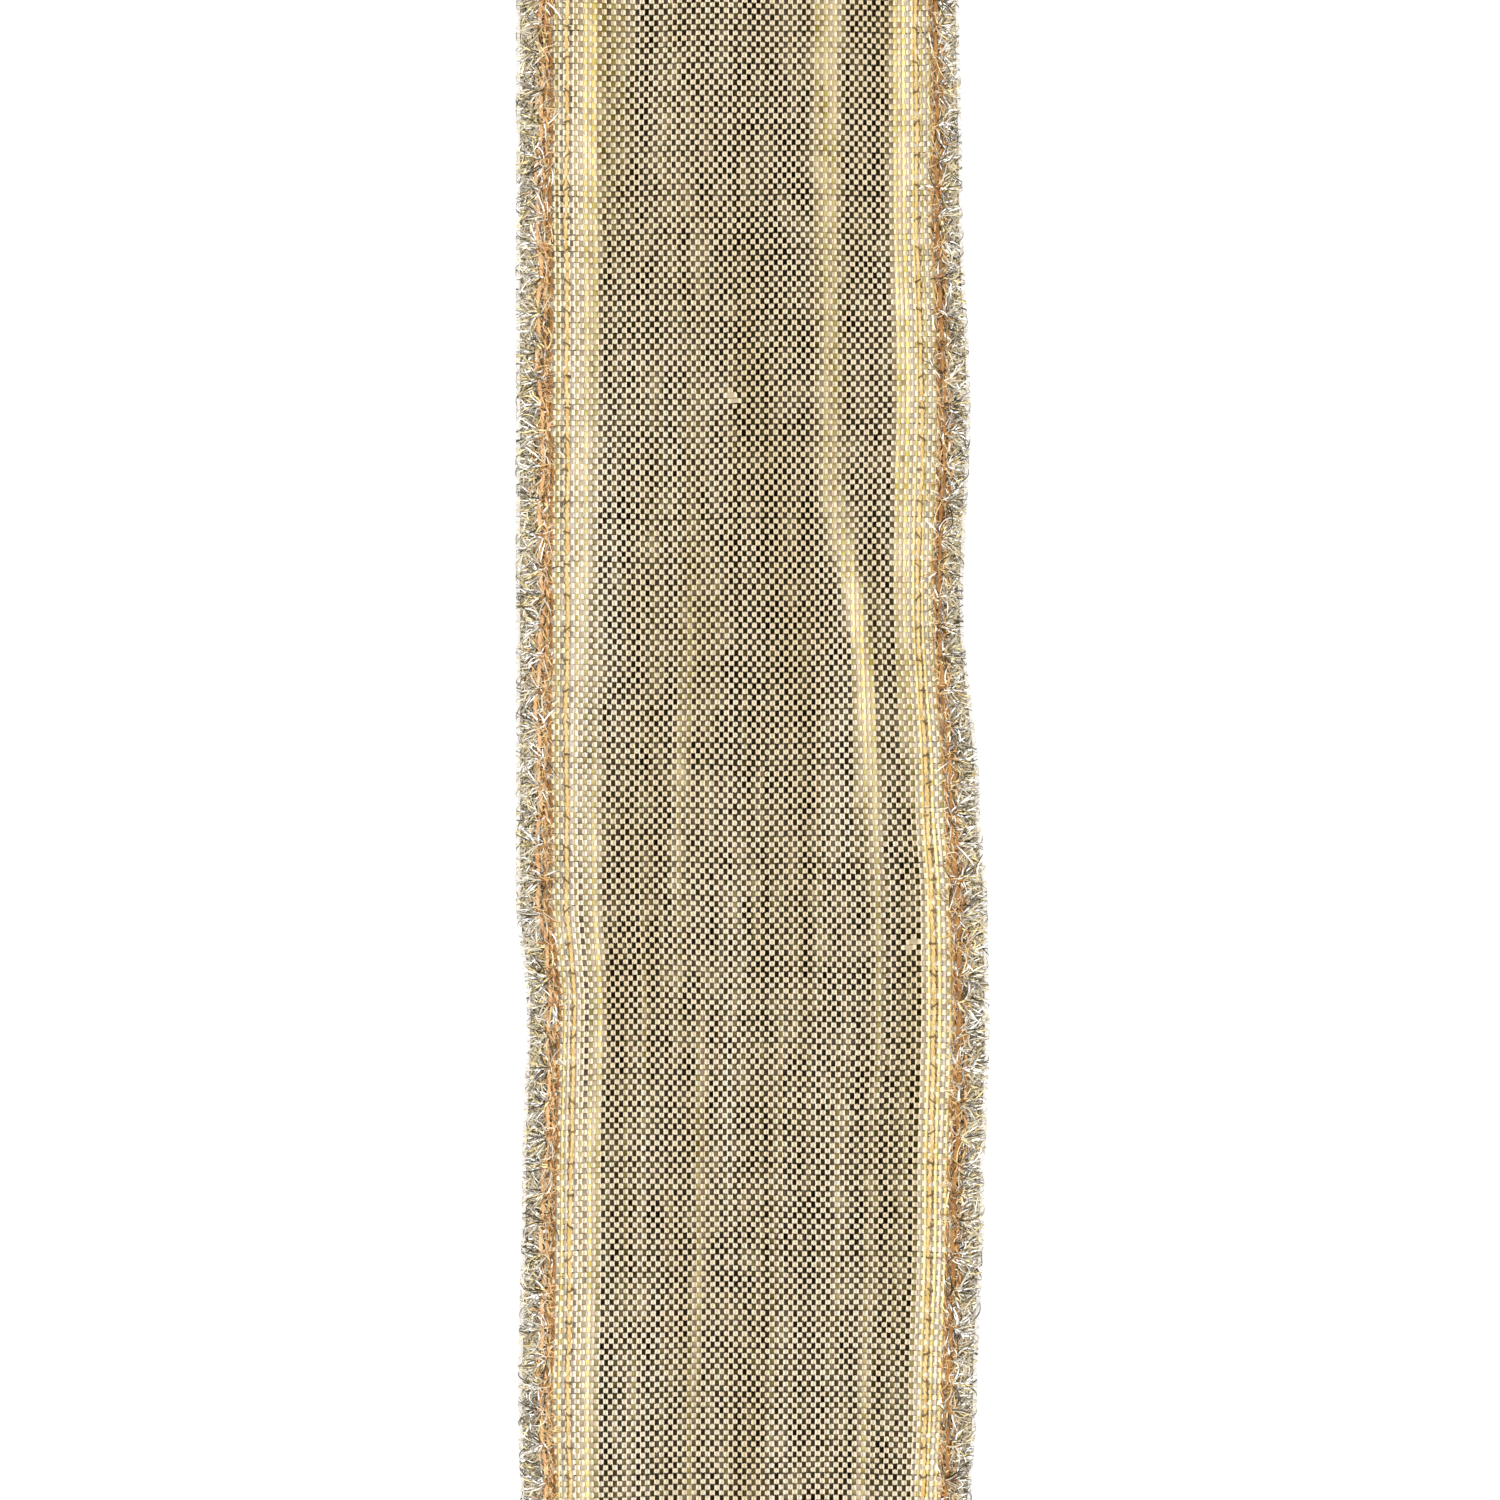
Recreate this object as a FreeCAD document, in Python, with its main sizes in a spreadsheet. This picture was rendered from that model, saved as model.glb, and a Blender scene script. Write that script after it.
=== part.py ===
"""Spool of gold wired-edge ribbon, standing on its flange rims with a tail of ribbon pulled out in front.

Frame: the origin is the centre of the core's bore, +X runs along the core, +Z is up and the tail is
pulled out towards -Y. The flange rims and the tail rest on the plane z = -flange_radius. Millimetres.

The spool is a paperboard tube with a die-cut board disc glued on at each end and a paper facing over
each disc. The ribbon is a woven ground with an edge wire, a tinsel overlock edging and two seam
threads on each side. It comes off the top of the roll, drops in front of it and lies on the table.
"""
import FreeCAD, Part
import math
import os

import Sketcher

V = FreeCAD.Vector
os.makedirs("parts", exist_ok=True)
doc = FreeCAD.newDocument("ribbon_spool")

# ---------------------------------------------------------------- driving dimensions
SIZES = [
    ("ribbon_width", 38.0, "edge to edge, tinsel included"),
    ("edging_width", 3.5, "tinsel overlock edging"),
    ("wire_channel", 0.5, "gap between ground and edging that holds the edge wire"),
    ("ground_thickness", 0.6, "woven ground as it lies"),
    ("edging_thickness", 1.2, "folded edge with its tinsel"),
    ("wire_radius", 0.2, "edge wire"),
    ("wire_height", 0.55, "edge wire's centre above the ribbon's underside"),
    ("thread_radius", 0.2, "seam thread"),
    ("thread_gap", 0.02, "between seam thread and the cloth below it"),
    ("thread_opening", 12.0, "degrees of the last turn left free of wire and thread at the run-off"),
    ("outer_seam_inset", 2.2, "outer seam from the ribbon's edge"),
    ("inner_seam_inset", 4.7, "inner seam from the ribbon's edge"),
    ("bore_radius", 22.0, "inside of the core tube"),
    ("core_radius", 25.0, "outside of the core tube"),
    ("flange_gap", 40.0, "between the two boards"),
    ("board_thickness", 2.0, "flange board"),
    ("flange_radius", 63.5, "flange board"),
    ("facing_thickness", 0.25, "paper facing"),
    ("facing_margin", 0.3, "facing's edge from the bore and from the board's rim"),
    ("glue_clearance", 0.05, "board, tape and glue bead around the tube"),
    ("glue_leg", 0.8, "glue bead's two legs"),
    ("tape_thickness", 0.2, "starter tape"),
    ("tape_width", 24.0, "starter tape"),
    ("tape_angle", 70.0, "starter tape's reach round the core, degrees"),
    ("roll_inner_radius", 25.35, "wound ribbon"),
    ("roll_outer_radius", 59.0, "wound ribbon below its last turn"),
    ("turn_pitch", 1.0, "one turn of ribbon to the next"),
    ("last_turn_radius", 59.3, "underside of the last turn"),
    ("landing_radius", 55.0, "bend where the ribbon lands on the table"),
    ("landing_distance", 125.0, "from the core's axis to where the ribbon lies flat"),
    ("fold_gap", 0.3, "between the run-off and the tail at the fold"),
    ("tail_length", 147.0, "flat tail, fold to cut end"),
]

sheet = doc.addObject("Spreadsheet::Sheet", "sizes")
for row, (alias, value, meaning) in enumerate(SIZES, start=1):
    sheet.set("A%d" % row, alias)
    sheet.set("B%d" % row, str(value))
    sheet.set("C%d" % row, meaning)
    sheet.setAlias("B%d" % row, alias)
doc.recompute()
size = {alias: float(sheet.get(alias)) for alias, _, _ in SIZES}

# Places that several pieces share, as expressions of the sheet. Distances along X are from the middle.
HALF_WIDTH = "sizes.ribbon_width / 2"
EDGING_X = "(sizes.ribbon_width / 2 - sizes.edging_width)"
GROUND_X = "(sizes.ribbon_width / 2 - sizes.edging_width - sizes.wire_channel)"
WIRE_X = "(sizes.ribbon_width / 2 - sizes.edging_width - sizes.wire_channel / 2)"
OUTER_SEAM_X = "(sizes.ribbon_width / 2 - sizes.outer_seam_inset)"
INNER_SEAM_X = "(sizes.ribbon_width / 2 - sizes.inner_seam_inset)"
BOARD_X = "sizes.flange_gap / 2"
FACING_X = "(sizes.flange_gap / 2 + sizes.board_thickness)"
TABLE_Z = "-sizes.flange_radius"
TAIL_START_Y = "-(sizes.landing_distance + sizes.fold_gap)"

# Heights of centre lines above the ribbon's underside.
WIRE_HEIGHT = "sizes.wire_height"
OUTER_SEAM_HEIGHT = "(sizes.edging_thickness + sizes.thread_gap + sizes.thread_radius)"
INNER_SEAM_HEIGHT = "(sizes.ground_thickness + sizes.thread_gap + sizes.thread_radius)"

ORIGIN_POINT = (-1, 1)
START, END, CENTRE = 1, 2, 3
SIDES = (("left", -1), ("right", 1))
pieces = []


# ---------------------------------------------------------------- sketch helpers
def new_body(label):
    body = doc.addObject("PartDesign::Body", label)
    body.Label = label
    pieces.append(body)
    return body


def new_sketch(body, name, plane_role):
    sketch = body.newObject("Sketcher::SketchObject", name)
    plane = next(item for item in body.Origin.OriginFeatures if item.Role == plane_role)
    sketch.AttachmentSupport = [(plane, "")]
    sketch.MapMode = "FlatFace"
    return sketch


def sketch_across(body, name, x_position):
    """A sketch across the core's axis at one place along X. Its own axes are the frame's Y and Z."""
    sketch = new_sketch(body, name, "YZ_Plane")
    sketch.setExpression("AttachmentOffset.Base.z", x_position)
    return sketch


def dimension(sketch, name, expression, kind, *where_and_value):
    """Adds a dimension and binds it to the sheet. The value given is only the solver's start."""
    index = sketch.addConstraint(Sketcher.Constraint(kind, *where_and_value))
    sketch.renameConstraint(index, name)
    sketch.setExpression("Constraints." + name, expression)


def relate(sketch, kind, *where):
    sketch.addConstraint(Sketcher.Constraint(kind, *where))


def add_circle(sketch, name, radius, start_radius):
    """A circle about the sketch's origin."""
    circle = sketch.addGeometry(Part.Circle(V(0, 0, 0), V(0, 0, 1), start_radius))
    relate(sketch, "Coincident", circle, CENTRE, *ORIGIN_POINT)
    dimension(sketch, name, radius, "Radius", circle, start_radius)
    return circle


def pad(body, sketch, length):
    feature = body.newObject("PartDesign::Pad", sketch.Name + "_pad")
    feature.Profile = sketch
    feature.setExpression("Length", length)


# ---------------------------------------------------------------- pieces of revolution
def make_ring(label, x_position, length, inner_radius, outer_radius):
    """A flat ring or a tube about the core's axis."""
    body = new_body(label)
    sketch = sketch_across(body, label + "_rings", x_position)
    add_circle(sketch, "inner_radius", inner_radius, size["core_radius"])
    add_circle(sketch, "outer_radius", outer_radius, size["flange_radius"])
    pad(body, sketch, length)


def make_glue_bead(label, side):
    """Hot-melt fillet in the corner between a flange board's inner face and the tube."""
    body = new_body(label)
    sketch = new_sketch(body, label + "_section", "XY_Plane")
    wall = side * size["flange_gap"] / 2
    leg = size["glue_leg"]
    foot = size["core_radius"] + size["glue_clearance"]
    corners = [V(wall, foot, 0), V(wall, foot + leg, 0), V(wall - side * leg, foot, 0)]
    lines = []
    for first, second in zip(corners, corners[1:] + corners[:1]):
        lines.append(sketch.addGeometry(Part.LineSegment(first, second)))
    upright, slope, base = lines
    relate(sketch, "Coincident", upright, END, slope, START)
    relate(sketch, "Coincident", slope, END, base, START)
    relate(sketch, "Coincident", base, END, upright, START)
    relate(sketch, "Vertical", upright)
    relate(sketch, "Horizontal", base)
    dimension(sketch, "leg_up", "sizes.glue_leg", "DistanceY", upright, START, upright, END, leg)
    if side > 0:
        along = (base, START, base, END)
        from_middle = (*ORIGIN_POINT, upright, START)
    else:
        along = (base, END, base, START)
        from_middle = (upright, START, *ORIGIN_POINT)
    dimension(sketch, "leg_along", "sizes.glue_leg", "DistanceX", *along, leg)
    dimension(sketch, "wall", BOARD_X, "DistanceX", *from_middle, abs(wall))
    dimension(sketch, "foot", "sizes.core_radius + sizes.glue_clearance", "DistanceY",
              *ORIGIN_POINT, upright, START, foot)
    turn = body.newObject("PartDesign::Revolution", label + "_turn")
    turn.Profile = sketch
    turn.ReferenceAxis = (sketch, ["H_Axis"])
    turn.Angle = 360


def make_starter_tape(label):
    """A strip of paper tape bent round the core, which holds the ribbon's inner end."""
    body = new_body(label)
    sketch = sketch_across(body, label + "_section", "-sizes.tape_width / 2")
    radii = {"under": size["core_radius"] + size["glue_clearance"]}
    radii["over"] = radii["under"] + size["tape_thickness"]
    half = math.radians(size["tape_angle"]) / 2
    first = math.pi / 2 - half
    last = math.pi / 2 + half
    arcs = {}
    for name, radius in radii.items():
        arcs[name] = sketch.addGeometry(Part.ArcOfCircle(Part.Circle(V(0, 0, 0), V(0, 0, 1), radius), first, last))
        relate(sketch, "Coincident", arcs[name], CENTRE, *ORIGIN_POINT)
    ends = []
    for end, angle in ((START, first), (END, last)):
        ray = V(math.cos(angle), math.sin(angle), 0)
        line = sketch.addGeometry(Part.LineSegment(ray * radii["under"], ray * radii["over"]))
        relate(sketch, "Coincident", line, START, arcs["under"], end)
        relate(sketch, "Coincident", line, END, arcs["over"], end)
        relate(sketch, "PointOnObject", *ORIGIN_POINT, line)
        ends.append(line)
    dimension(sketch, "under_radius", "sizes.core_radius + sizes.glue_clearance",
              "Radius", arcs["under"], radii["under"])
    dimension(sketch, "over_radius", "sizes.core_radius + sizes.glue_clearance + sizes.tape_thickness",
              "Radius", arcs["over"], radii["over"])
    dimension(sketch, "first_end", "90 deg - sizes.tape_angle * 1 deg / 2", "Angle", ends[0], first)
    dimension(sketch, "last_end", "90 deg + sizes.tape_angle * 1 deg / 2", "Angle", ends[1], last)
    pad(body, sketch, "sizes.tape_width")


def make_wound_wire(label, side):
    """The edge wire inside the roll: a flat coil of semicircles, each half a pitch wider than the last.

    Its section is a square as large in area as the round wire's.
    """
    feature = doc.addObject("Part::Feature", label)
    square = size["wire_radius"] * math.sqrt(math.pi)
    channel_middle = size["ribbon_width"] / 2 - size["edging_width"] - size["wire_channel"] / 2
    radius = size["roll_inner_radius"] + size["wire_radius"] + size["glue_clearance"]
    outermost = size["roll_outer_radius"] - size["wire_radius"] - size["glue_clearance"]
    step = size["turn_pitch"] / 2
    x = side * channel_middle - square / 2
    centre = V(x, 0, 0)
    direction = 1
    length = 0
    outer_edge = []
    inner_edge = []
    while radius + step <= outermost:
        for edge, offset in ((outer_edge, square / 2), (inner_edge, -square / 2)):
            across = V(0, direction * (radius + offset), 0)
            over = V(0, 0, direction * (radius + offset))
            edge.append(Part.Arc(centre + across, centre + over, centre - across).toShape())
        length += math.pi * radius
        centre += V(0, direction * step, 0)
        direction = -direction
        radius += step
    ends = []
    for arc_index, vertex_index in ((0, 0), (-1, 1)):
        ends.append(Part.makeLine(outer_edge[arc_index].Vertexes[vertex_index].Point,
                                  inner_edge[arc_index].Vertexes[vertex_index].Point))
    outline = Part.Wire(Part.__sortEdges__(outer_edge + inner_edge + ends))
    feature.Shape = Part.Face(outline).extrude(V(square, 0, 0))
    feature.Placement = FreeCAD.Placement()
    feature.Label = label
    pieces.append(feature)
    print("%s: %.2f m of wire, %.1f mm3 expected" % (label, length / 1000, length * square ** 2))


# ---------------------------------------------------------------- the last turn and the run-off
def run_off_places(roll_radius, landing_radius):
    """Tangent points of the straight run between the last turn and the landing bend, in Y and Z."""
    centre = V(-size["landing_distance"], size["landing_radius"] - size["flange_radius"], 0)
    dip = math.atan2(-centre.y, -centre.x)
    slope = dip + math.asin((roll_radius + landing_radius) / centre.Length)
    outward = V(-math.sin(slope), math.cos(slope), 0)
    return centre, outward, outward * roll_radius, centre - outward * landing_radius


def add_arc(sketch, centre, radius, first, last):
    return sketch.addGeometry(Part.ArcOfCircle(Part.Circle(centre, V(0, 0, 1), radius), first, last))


def place_landing(sketch, line, point):
    """Fixes the landing bend's centre above the table, in front of the core."""
    dimension(sketch, "landing_distance", "sizes.landing_distance", "DistanceX",
              line, point, *ORIGIN_POINT, size["landing_distance"])
    dimension(sketch, "landing_height", "sizes.flange_radius - sizes.landing_radius", "DistanceY",
              line, point, *ORIGIN_POINT, size["flange_radius"] - size["landing_radius"])


def make_run_off_strip(label, x_position, width, thickness, thickness_value):
    """A flat strip of the ribbon: the whole last turn and the straight drop, down to the landing bend."""
    body = new_body(label)
    sketch = sketch_across(body, label + "_side_view", x_position)
    under = size["last_turn_radius"]
    over = under + thickness_value
    centre, outward, _, land_under = run_off_places(under, size["landing_radius"])
    leave_over = outward * over
    land_over = land_under + outward * thickness_value
    leave_angle = math.atan2(outward.y, outward.x)
    split_angle = leave_angle + math.acos(under / over)
    split = V(math.cos(split_angle), math.sin(split_angle), 0) * over

    hollow = add_circle(sketch, "under_radius", "sizes.last_turn_radius", under)
    turn = add_arc(sketch, V(0, 0, 0), over, split_angle, leave_angle + 2 * math.pi)
    top_run = sketch.addGeometry(Part.LineSegment(leave_over, land_over))
    under_run = sketch.addGeometry(Part.LineSegment(split, land_under))
    end_line = sketch.addGeometry(Part.LineSegment(land_over, land_under))
    bend_ray = sketch.addGeometry(Part.LineSegment(centre, land_under), True)

    relate(sketch, "Coincident", turn, CENTRE, *ORIGIN_POINT)
    relate(sketch, "Coincident", turn, START, under_run, START)
    relate(sketch, "Tangent", turn, END, top_run, START)
    relate(sketch, "Tangent", under_run, hollow)
    relate(sketch, "Parallel", top_run, under_run)
    relate(sketch, "Coincident", top_run, END, end_line, START)
    relate(sketch, "Coincident", under_run, END, end_line, END)
    relate(sketch, "Coincident", bend_ray, END, under_run, END)
    relate(sketch, "Perpendicular", bend_ray, under_run)
    relate(sketch, "PointOnObject", top_run, END, bend_ray)
    dimension(sketch, "over_radius", "sizes.last_turn_radius + " + thickness, "Radius", turn, over)
    dimension(sketch, "bend_radius", "sizes.landing_radius", "Distance", bend_ray, size["landing_radius"])
    place_landing(sketch, bend_ray, START)
    pad(body, sketch, width)


def make_landing_strip(label, x_position, width, thickness, thickness_value):
    """A flat strip of the ribbon: the bend that lays the drop down on the table."""
    body = new_body(label)
    sketch = sketch_across(body, label + "_side_view", x_position)
    under = size["landing_radius"]
    over = under - thickness_value
    centre, outward, leave, land_under = run_off_places(size["last_turn_radius"], under)
    land_over = land_under + outward * thickness_value
    last_angle = math.atan2(outward.y, outward.x) - math.pi

    under_bend = add_arc(sketch, centre, under, -math.pi / 2, last_angle)
    over_bend = add_arc(sketch, centre, over, -math.pi / 2, last_angle)
    end_line = sketch.addGeometry(Part.LineSegment(centre - V(0, over, 0), centre - V(0, under, 0)))
    start_line = sketch.addGeometry(Part.LineSegment(land_over, land_under))
    run = sketch.addGeometry(Part.LineSegment(leave, land_under), True)
    leave_ray = sketch.addGeometry(Part.LineSegment(V(0, 0, 0), leave), True)

    relate(sketch, "Coincident", leave_ray, START, *ORIGIN_POINT)
    relate(sketch, "Coincident", leave_ray, END, run, START)
    relate(sketch, "Perpendicular", leave_ray, run)
    relate(sketch, "Tangent", run, END, under_bend, END)
    relate(sketch, "Coincident", over_bend, CENTRE, under_bend, CENTRE)
    for line, end in ((end_line, START), (start_line, END)):
        relate(sketch, "Coincident", over_bend, end, line, START)
        relate(sketch, "Coincident", under_bend, end, line, END)
    relate(sketch, "Vertical", end_line)
    relate(sketch, "Vertical", over_bend, CENTRE, end_line, START)
    relate(sketch, "PointOnObject", under_bend, CENTRE, start_line)
    dimension(sketch, "roll_radius", "sizes.last_turn_radius", "Distance", leave_ray, size["last_turn_radius"])
    dimension(sketch, "under_radius", "sizes.landing_radius", "Radius", under_bend, under)
    dimension(sketch, "over_radius", "sizes.landing_radius - " + thickness, "Radius", over_bend, over)
    place_landing(sketch, under_bend, CENTRE)
    pad(body, sketch, width)


def make_run_off_line(label, side, x_distance, radius, height, height_value):
    """A wire or a thread that follows the run-off: a round section swept along one line."""
    body = new_body(label)
    sign = "-" if side < 0 else ""
    path = sketch_across(body, label + "_path", sign + x_distance)
    roll_radius = size["last_turn_radius"] + height_value
    landing_radius = size["landing_radius"] - height_value
    centre, outward, leave, land = run_off_places(roll_radius, landing_radius)
    leave_angle = math.atan2(outward.y, outward.x)
    opening = math.radians(size["thread_opening"])
    first_angle = leave_angle + opening
    first = V(math.cos(first_angle), math.sin(first_angle), 0) * roll_radius

    turn = add_arc(path, V(0, 0, 0), roll_radius, first_angle, leave_angle + 2 * math.pi)
    run = path.addGeometry(Part.LineSegment(leave, land))
    bend = add_arc(path, centre, landing_radius, -math.pi / 2, leave_angle - math.pi)
    start_ray = path.addGeometry(Part.LineSegment(V(0, 0, 0), first), True)
    leave_ray = path.addGeometry(Part.LineSegment(V(0, 0, 0), leave), True)
    for ray, end in ((start_ray, START), (leave_ray, END)):
        relate(path, "Coincident", ray, START, *ORIGIN_POINT)
        relate(path, "Coincident", ray, END, turn, end)
    relate(path, "Coincident", turn, CENTRE, *ORIGIN_POINT)
    relate(path, "Tangent", turn, END, run, START)
    relate(path, "Tangent", run, END, bend, END)
    relate(path, "Vertical", bend, CENTRE, bend, START)
    dimension(path, "opening", "sizes.thread_opening * 1 deg", "Angle",
              leave_ray, START, start_ray, START, opening)
    dimension(path, "roll_radius", "sizes.last_turn_radius + " + height, "Radius", turn, roll_radius)
    dimension(path, "bend_radius", "sizes.landing_radius - " + height, "Radius", bend, landing_radius)
    place_landing(path, bend, CENTRE)

    section = body.newObject("Sketcher::SketchObject", label + "_section")
    section.AttachmentSupport = [(path, "Edge1")]
    section.MapMode = "NormalToEdge"
    section.MapPathParameter = 0
    add_circle(section, "radius", radius, size["wire_radius"])
    pipe = body.newObject("PartDesign::AdditivePipe", label + "_pipe")
    pipe.Profile = section
    pipe.Spine = path


# ---------------------------------------------------------------- the flat tail
def make_tail_strip(label, x_position, width, thickness):
    box = doc.addObject("Part::Box", label)
    box.Label = label
    box.setExpression("Width", "sizes.tail_length")
    box.setExpression("Length", width)
    box.setExpression("Height", thickness)
    box.setExpression("Placement.Base.x", x_position)
    box.setExpression("Placement.Base.y", TAIL_START_Y + " - sizes.tail_length")
    box.setExpression("Placement.Base.z", TABLE_Z)
    pieces.append(box)


def make_tail_line(label, side, x_distance, radius, height):
    rod = doc.addObject("Part::Cylinder", label)
    rod.Label = label
    rod.Placement = FreeCAD.Placement(V(0, 0, 0), FreeCAD.Rotation(V(1, 0, 0), 90))
    rod.setExpression("Radius", radius)
    rod.setExpression("Height", "sizes.tail_length")
    rod.setExpression("Placement.Base.x", "%d * %s" % (side, x_distance))
    rod.setExpression("Placement.Base.y", TAIL_START_Y)
    rod.setExpression("Placement.Base.z", "%s + %s" % (TABLE_Z, height))
    pieces.append(rod)


# ---------------------------------------------------------------- the spool
core_start = "-%s" % FACING_X
make_ring("core_tube", core_start, "2 * %s" % FACING_X, "sizes.bore_radius", "sizes.core_radius")
for side_name, side in SIDES:
    board_start = BOARD_X if side > 0 else "-%s" % FACING_X
    facing_start = FACING_X if side > 0 else "-%s - sizes.facing_thickness" % FACING_X
    make_ring(side_name + "_flange_board", board_start, "sizes.board_thickness",
              "sizes.core_radius + sizes.glue_clearance", "sizes.flange_radius")
    make_ring(side_name + "_flange_facing", facing_start, "sizes.facing_thickness",
              "sizes.bore_radius + sizes.facing_margin", "sizes.flange_radius - sizes.facing_margin")
    make_glue_bead(side_name + "_glue_bead", side)
make_starter_tape("starter_tape")

# ---------------------------------------------------------------- the wound ribbon
make_ring("roll_ground", "-%s" % GROUND_X, "2 * %s" % GROUND_X, "sizes.roll_inner_radius", "sizes.roll_outer_radius")
for side_name, side in SIDES:
    edging_start = EDGING_X if side > 0 else "-%s" % HALF_WIDTH
    make_ring("roll_%s_edging" % side_name, edging_start, "sizes.edging_width",
              "sizes.roll_inner_radius", "sizes.roll_outer_radius")
    make_wound_wire("roll_%s_edge_wire" % side_name, side)

# ---------------------------------------------------------------- the run-off and the tail
make_run_off_strip("run_off_ground", "-%s" % GROUND_X, "2 * %s" % GROUND_X,
                   "sizes.ground_thickness", size["ground_thickness"])
make_landing_strip("landing_ground", "-%s" % GROUND_X, "2 * %s" % GROUND_X,
                   "sizes.ground_thickness", size["ground_thickness"])
make_tail_strip("tail_ground", "-%s" % GROUND_X, "2 * %s" % GROUND_X, "sizes.ground_thickness")

outer_seam_height = size["edging_thickness"] + size["thread_gap"] + size["thread_radius"]
inner_seam_height = size["ground_thickness"] + size["thread_gap"] + size["thread_radius"]
LINES = [
    ("edge_wire", WIRE_X, "sizes.wire_radius", WIRE_HEIGHT, size["wire_height"]),
    ("outer_seam", OUTER_SEAM_X, "sizes.thread_radius", OUTER_SEAM_HEIGHT, outer_seam_height),
    ("inner_seam", INNER_SEAM_X, "sizes.thread_radius", INNER_SEAM_HEIGHT, inner_seam_height),
]
for side_name, side in SIDES:
    edging_start = EDGING_X if side > 0 else "-%s" % HALF_WIDTH
    make_run_off_strip("run_off_%s_edging" % side_name, edging_start, "sizes.edging_width",
                       "sizes.edging_thickness", size["edging_thickness"])
    make_landing_strip("landing_%s_edging" % side_name, edging_start, "sizes.edging_width",
                       "sizes.edging_thickness", size["edging_thickness"])
    make_tail_strip("tail_%s_edging" % side_name, edging_start, "sizes.edging_width", "sizes.edging_thickness")
    for line_name, x_distance, radius, height, height_value in LINES:
        make_run_off_line("run_off_%s_%s" % (side_name, line_name), side, x_distance, radius, height, height_value)
        make_tail_line("tail_%s_%s" % (side_name, line_name), side, x_distance, radius, height)

# ---------------------------------------------------------------- check and write
doc.recompute()
for item in doc.Objects:
    if "Invalid" in item.State or "Error" in item.State:
        raise RuntimeError("%s did not compute: %s" % (item.Label, item.State))
for piece in pieces:
    shape = piece.Shape
    if shape.isNull() or not shape.isValid() or len(shape.Solids) != 1 or shape.Volume <= 0:
        raise RuntimeError("%s has no sound solid" % piece.Label)
    box = shape.optimalBoundingBox()
    print("%-26s %9.1f mm3  x %7.2f %7.2f  y %8.2f %8.2f  z %7.2f %7.2f" % (
        piece.Label, shape.Volume, box.XMin, box.XMax, box.YMin, box.YMax, box.ZMin, box.ZMax))
    shape.exportStep("parts/%s.step" % piece.Label)
print("%d pieces written" % len(pieces))
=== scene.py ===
"""A board spool of woven gold ribbon, with its wired tail run out flat on a table in front of it.

The ribbon is one strip, described along its own length: s is the distance from the cut end of the tail, x is
across the ribbon and lift is the height over its underside. place() bends that strip into the flat tail, the
landing bend, the drop and the last turn on the roll. All lengths are metres unless a name says otherwise.
"""
import math

import bpy
import numpy as np
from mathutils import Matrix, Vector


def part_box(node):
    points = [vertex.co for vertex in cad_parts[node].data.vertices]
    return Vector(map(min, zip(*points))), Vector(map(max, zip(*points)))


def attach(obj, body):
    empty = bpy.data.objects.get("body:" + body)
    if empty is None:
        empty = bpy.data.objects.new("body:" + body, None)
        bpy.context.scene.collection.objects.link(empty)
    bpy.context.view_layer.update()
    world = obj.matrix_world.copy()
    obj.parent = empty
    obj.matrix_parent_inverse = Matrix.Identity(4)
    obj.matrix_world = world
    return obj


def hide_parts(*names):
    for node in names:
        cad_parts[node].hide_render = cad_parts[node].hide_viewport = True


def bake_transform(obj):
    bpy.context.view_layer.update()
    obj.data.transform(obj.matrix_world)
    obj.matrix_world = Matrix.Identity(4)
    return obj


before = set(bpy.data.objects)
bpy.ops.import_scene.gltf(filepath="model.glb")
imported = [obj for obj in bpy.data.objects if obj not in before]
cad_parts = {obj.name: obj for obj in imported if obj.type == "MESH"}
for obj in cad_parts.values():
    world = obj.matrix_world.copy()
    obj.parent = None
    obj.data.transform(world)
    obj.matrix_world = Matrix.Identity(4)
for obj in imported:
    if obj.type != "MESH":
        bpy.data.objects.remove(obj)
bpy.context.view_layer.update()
rng = np.random.default_rng(38)
MM = 0.001

# ---------------------------------------------------------------- places read from the frame
edging_low, edging_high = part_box("tail_right_edging")
landing_low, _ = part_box("landing_ground")
_, run_off_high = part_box("run_off_ground")

HALF_WIDTH = edging_high.x
TABLE_Z = edging_low.z
CUT_Y = edging_low.y
LANDING_Y = landing_low.y
GROUND_THICKNESS = 0.6 * MM
TURN_RADIUS = run_off_high.z - GROUND_THICKNESS
BEND_RADIUS = 55 * MM

# ---------------------------------------------------------------- the ribbon's path
bend_centre_z = TABLE_Z + BEND_RADIUS
centre_distance = math.hypot(LANDING_Y, bend_centre_z)
DROP_SLOPE = (math.atan2(-bend_centre_z, -LANDING_Y)
              + math.asin((TURN_RADIUS + BEND_RADIUS) / centre_distance))
FLAT_LENGTH = LANDING_Y - CUT_Y
BEND_LENGTH = BEND_RADIUS * DROP_SLOPE
DROP_LENGTH = math.sqrt(centre_distance ** 2 - (TURN_RADIUS + BEND_RADIUS) ** 2)
TURN_START = FLAT_LENGTH + BEND_LENGTH + DROP_LENGTH
TURN_END = TURN_START + 2 * math.pi * TURN_RADIUS
TUCK_LENGTH = 6 * MM
TUCK_DEPTH = 0.45 * MM
RIBBON_LENGTH = TURN_END + TUCK_LENGTH


def smooth(t):
    """0 below 0 and 1 above 1, with a smooth step between the two."""
    t = np.clip(t, 0, 1)
    return t * t * (3 - 2 * t)


def eased(keys, at):
    """A smooth curve through (place, value) keys in millimetres, level at each key. It returns metres."""
    places = np.array([place_mm for place_mm, _ in keys]) * MM
    values = np.array([value_mm for _, value_mm in keys]) * MM
    after = np.clip(np.searchsorted(places, at), 1, len(keys) - 1)
    before = after - 1
    share = (at - places[before]) / (places[after] - places[before])
    return values[before] + (values[after] - values[before]) * smooth(share)


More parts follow.
